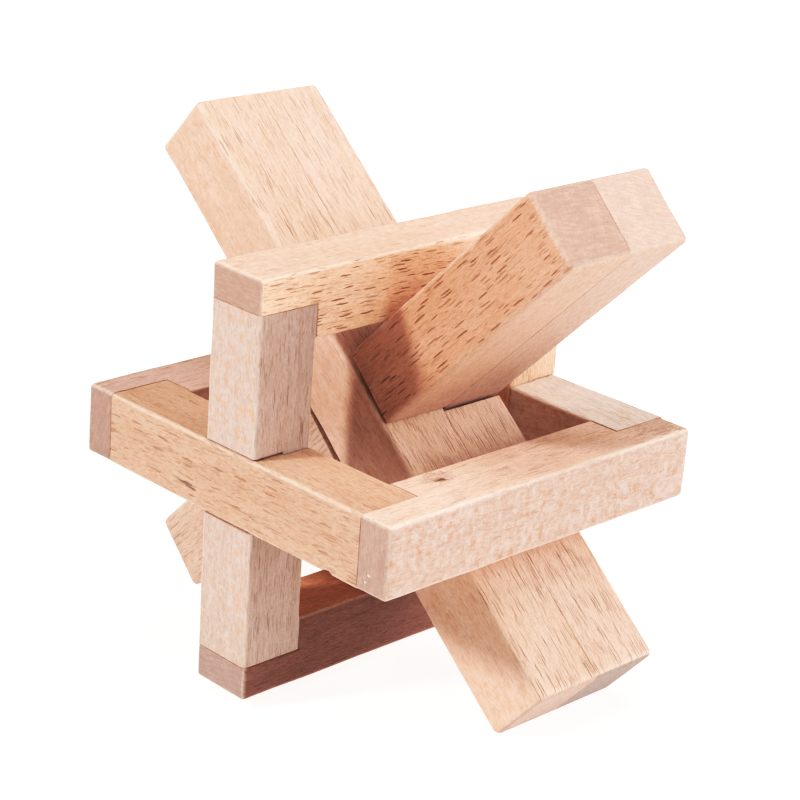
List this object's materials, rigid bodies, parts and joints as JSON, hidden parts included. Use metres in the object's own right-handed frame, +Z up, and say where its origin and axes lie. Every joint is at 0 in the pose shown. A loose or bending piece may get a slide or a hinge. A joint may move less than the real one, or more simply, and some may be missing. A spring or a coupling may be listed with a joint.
{
  "type": "interlocking wooden puzzle",
  "caption": "Wooden interlocking puzzle: a cage of crossed flat and upright frames around wide planks that are half-lapped together in an X.",
  "frame": {"origin": "on the table, midway between the feet of the planks and at the middle of the cage's length", "axes": "+X along the bars of the upright frame towards the right-hand post, +Y towards the back, +Z up"},
  "size_m": [0.0806, 0.1086, 0.103],
  "materials": {
    "pale_beech": "sanded, unvarnished",
    "cream_beech": "sanded, unvarnished",
    "tan_beech": "sanded, unvarnished",
    "pink_beech": "sanded, unvarnished",
    "rose_beech": "sanded, unvarnished"
  },
  "bodies": {
    "cage": {"flat_frame_front_bar": "pink_beech", "flat_frame_back_bar": "cream_beech", "flat_frame_left_bar": "tan_beech", "flat_frame_right_bar": "pale_beech", "upright_frame_bottom_bar": "rose_beech", "upright_frame_top_bar": "tan_beech", "upright_frame_left_post": "pale_beech", "upright_frame_right_post": "pink_beech"},
    "back_leaning_plank": {"back_leaning_plank_long_strip": "tan_beech", "back_leaning_plank_upper_block": "cream_beech", "back_leaning_plank_lower_block": "pale_beech"},
    "front_leaning_plank": {"front_leaning_plank_long_strip": "pale_beech", "front_leaning_plank_upper_block": "pink_beech", "front_leaning_plank_lower_block": "cream_beech"}
  },
  "joints": [
    {"name": "back_leaning_plank_slide", "type": "slide", "parent": "cage", "child": "back_leaning_plank", "axis": [-1, 0, 0], "range_m": [0, 0.0152]},
    {"name": "front_leaning_plank_slide", "type": "slide", "parent": "cage", "child": "front_leaning_plank", "axis": [1, 0, 0], "range_m": [0, 0.0052]}
  ]
}
